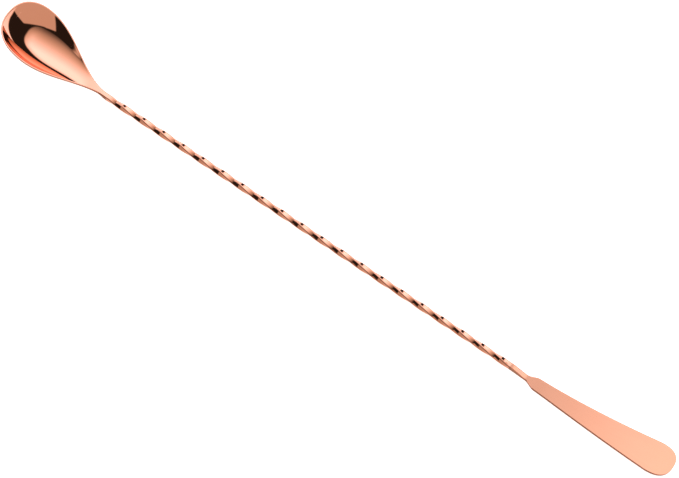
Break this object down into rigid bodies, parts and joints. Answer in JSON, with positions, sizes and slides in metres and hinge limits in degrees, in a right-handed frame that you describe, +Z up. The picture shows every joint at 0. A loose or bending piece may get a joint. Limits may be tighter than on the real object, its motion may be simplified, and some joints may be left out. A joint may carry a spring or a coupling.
{
  "type": "bar spoon",
  "caption": "Long copper-plated bar spoon with a teardrop bowl, a twisted square stem and a flat flared stirring paddle.",
  "frame": {"origin": "under the middle of the spoon's length, on the surface that it lies on with the bowl open upwards", "axes": "+X along the stem from the bowl's tip to the paddle's end, +Y across, +Z up, out of the bowl"},
  "size_m": [0.335, 0.0268, 0.0179],
  "materials": {
    "copper_plate_mirror": "electroplated copper over polished stainless steel, mirror polished",
    "copper_plate_twisted_bar": "electroplated copper over a cold-twisted stainless bar, bright tumbled",
    "copper_plate_dressed_weld": "weld metal dressed flush, polished and copper plated with the rest"
  },
  "bodies": {
    "root": {"spoon_bowl": "copper_plate_mirror", "bowl_weld": "copper_plate_dressed_weld", "twisted_stem": "copper_plate_twisted_bar", "paddle_weld": "copper_plate_dressed_weld", "stir_paddle": "copper_plate_mirror"}
  },
  "joints": []
}
